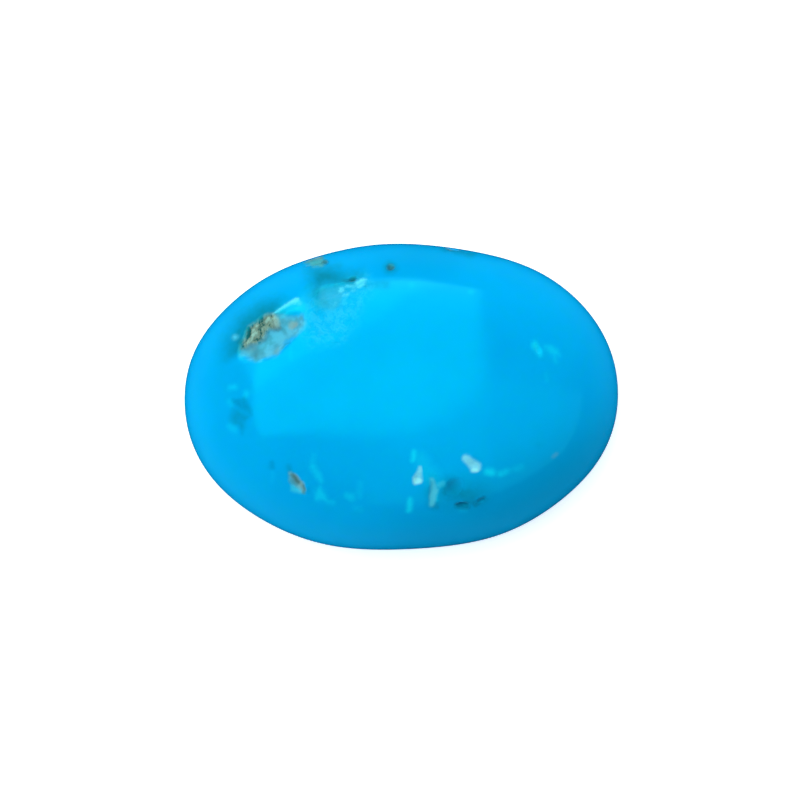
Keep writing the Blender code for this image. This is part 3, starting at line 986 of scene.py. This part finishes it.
def stone_roughness(paint):
    """The polish, which varies a little, and the strongest of the masks' dullness."""
    dull = 0.0
    for name, amount in DULLNESS:
        dull = paint.math("MAXIMUM", paint.math("MULTIPLY", paint.mask(name), amount), dull)
    polish = paint.math("MULTIPLY", paint.noise(*POLISH_NOISE), POLISH_CHANGE)
    return paint.math("ADD", paint.math("ADD", dull, POLISH_ROUGHNESS), polish)


def stone_height(paint):
    """A slight wave all over, and grit under the masks of the unpolished parts."""
    height = paint.math("MULTIPLY", paint.noise(*WAVE_NOISE), WAVE_HEIGHT)
    for name, size, detail, roughness, grit_height in GRIT:
        grit = paint.math("MULTIPLY", paint.noise(size, detail, roughness), paint.mask(name))
        height = paint.math("ADD", height, paint.math("MULTIPLY", grit, grit_height))
    return height


def turquoise_finish():
    """Polished blue stone, with the matrix, stains, chalk, painted shade and painted highlights put in by
    the masks.
    """
    paint = Paint("polished_turquoise")
    paint.feed(paint.shader.inputs["Base Color"], stone_colour(paint))
    paint.feed(paint.shader.inputs["Roughness"], stone_roughness(paint))
    paint.shader.inputs["IOR"].default_value = STONE_IOR
    paint.shader.inputs["Specular Tint"].default_value = (*SPECULAR_CYAN, 1.0)
    paint.relief(stone_height(paint))
    return paint.material


def floor_finish():
    """White matt card with a faint grain. It glows softly, more on the left."""
    paint = Paint("white_card")
    grain = paint.patches(FLOOR_NOISE, FLOOR_BAND)
    paint.feed(paint.shader.inputs["Base Color"], paint.blend(grain, FLOOR_WHITE, FLOOR_GREY))
    paint.shader.inputs["Roughness"].default_value = FLOOR_ROUGHNESS
    paint.shader.inputs["Specular IOR Level"].default_value = 0.0
    paint.shader.inputs["Emission Color"].default_value = WHITE_LIGHT
    parts = paint.tree.nodes.new("ShaderNodeSeparateXYZ")
    paint.feed(parts.inputs[0], paint.where)
    share = paint.math("MULTIPLY", parts.outputs["X"], -1.0 / (LEFT_GLOW_REACH * MM))
    glow = paint.spread(share, 0.0, 1.0, FLOOR_GLOW, FLOOR_GLOW + LEFT_GLOW)
    paint.feed(paint.shader.inputs["Emission Strength"], glow)
    return paint.material


def make_stone():
    """The whole stone, as one closed surface."""
    points, masks = stone_surface()
    stone = closed_mesh("turquoise_surface", points, masks)
    stone.data.materials.append(turquoise_finish())
    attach(stone, "root")
    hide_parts("turquoise_stone")


def make_floor():
    """A wide flat card. It lies a hair above the stone's back, which is seen clean from below."""
    corners = [(side_x * FLOOR_REACH, side_y * FLOOR_REACH, FLOOR_LIFT * MM)
               for side_x, side_y in ((-1, -1), (1, -1), (1, 1), (-1, 1))]
    mesh = bpy.data.meshes.new("floor")
    mesh.from_pydata(corners, [], [(0, 1, 2, 3)])
    mesh.materials.append(floor_finish())
    floor = bpy.data.objects.new("floor", mesh)
    floor.visible_glossy = False
    bpy.context.scene.collection.objects.link(floor)


def make_camera():
    """The camera looks at the aim from the stone's lower side, raised by its elevation."""
    lens = bpy.data.cameras.new("camera")
    lens.lens = CAMERA_LENS
    lens.clip_start = CAMERA_CLIP[0]
    lens.clip_end = CAMERA_CLIP[1]
    camera = bpy.data.objects.new("camera", lens)
    tilt = math.radians(CAMERA_ELEVATION)
    aim = Vector(CAMERA_AIM) * MM
    camera.location = aim + Vector((0.0, -math.cos(tilt), math.sin(tilt))) * CAMERA_DISTANCE * MM
    camera.rotation_euler = (math.pi / 2.0 - tilt, 0.0, 0.0)
    bpy.context.scene.collection.objects.link(camera)
    bpy.context.scene.camera = camera


def new_lamp(name, width, height, radiance):
    """A flat rectangular light. Its power is worked out from how bright it looks."""
    lamp = bpy.data.lights.new(name, "AREA")
    lamp.shape = "RECTANGLE"
    lamp.size = width * MM
    lamp.size_y = height * MM
    lamp.energy = radiance * math.pi * lamp.size * lamp.size_y
    light = bpy.data.objects.new(name, lamp)
    bpy.context.scene.collection.objects.link(light)
    return light


def fill_card(name, heading, height, upright, radiance):
    """A card that stands round the stone and faces it."""
    light = new_lamp(name, FILL_WIDTH, upright, radiance)
    level = math.cos(math.radians(height))
    outward = Vector((level * math.cos(math.radians(heading)), level * math.sin(math.radians(heading)),
                      math.sin(math.radians(height))))
    light.location = outward * FILL_DISTANCE * MM
    light.rotation_euler = outward.to_track_quat("Z", "Y").to_euler()
    light.visible_glossy = False


def edge_fade(tree, spot, box, facing, distance, softness):
    """1 inside one edge of a box and 0 past it, eased over the softness. The spot's place in the box,
    from 0 to 1 each way, gives its distance along the direction that the edge faces."""
    middle_x, middle_y, _ = box["middle"]
    width, height = box["size"]
    across = math.cos(math.radians(facing))
    along = math.sin(math.radians(facing))
    start = (middle_x - width / 2.0) * across + (middle_y - height / 2.0) * along
    run = tree.nodes.new("ShaderNodeVectorMath")
    run.operation = "DOT_PRODUCT"
    tree.links.new(spot, run.inputs[0])
    run.inputs[1].default_value = (width * across, height * along, 0.0)
    fade = tree.nodes.new("ShaderNodeMapRange")
    fade.interpolation_type = "SMOOTHSTEP"
    tree.links.new(run.outputs["Value"], fade.inputs["Value"])
    fade.inputs["From Min"].default_value = distance - softness / 2.0 - start
    fade.inputs["From Max"].default_value = distance + softness / 2.0 - start
    fade.inputs["To Min"].default_value = 1.0
    fade.inputs["To Max"].default_value = 0.0
    return fade.outputs["Result"]


def trimmed_box(name, box, lit=True):
    """A soft box over the stone. Its glow fades to nothing past each of its edges. One that isn't lit
    shows in the polish and lights nothing else."""
    middle_x, middle_y, level = box["middle"]
    light = new_lamp(name, *box["size"], box["radiance"])
    light.location = (middle_x * MM, middle_y * MM, level * MM)
    light.visible_diffuse = lit
    light.data.use_nodes = True
    tree = light.data.node_tree
    spot = tree.nodes.new("ShaderNodeNewGeometry").outputs["Parametric"]
    strength = tree.nodes["Emission"].inputs["Strength"]
    for edge in box["edges"]:
        both = tree.nodes.new("ShaderNodeMath")
        both.operation = "MULTIPLY"
        both.inputs[1].default_value = 1.0
        tree.links.new(edge_fade(tree, spot, box, *edge), both.inputs[0])
        tree.links.new(both.outputs[0], strength)
        strength = both.inputs[1]


def make_room():
    """The world is an even pale light that doesn't show in the polish."""
    world = bpy.data.worlds.new("pale_room")
    bpy.context.scene.world = world
    world.use_nodes = True
    background = world.node_tree.nodes["Background"]
    background.inputs["Color"].default_value = WHITE_LIGHT
    background.inputs["Strength"].default_value = ROOM_RADIANCE
    world.cycles_visibility.glossy = False


def make_lights():
    """The boxes over the stone, the fill cards round it and the room."""
    trimmed_box("wide_box", WIDE_BOX)
    trimmed_box("bright_box", BRIGHT_BOX)
    trimmed_box("faint_box", FAINT_BOX, lit=False)
    for name, card in FILLS.items():
        fill_card(name, *card)
    make_room()


bpy.context.scene.view_settings.view_transform = "Standard"
make_stone()
make_floor()
make_camera()
make_lights()
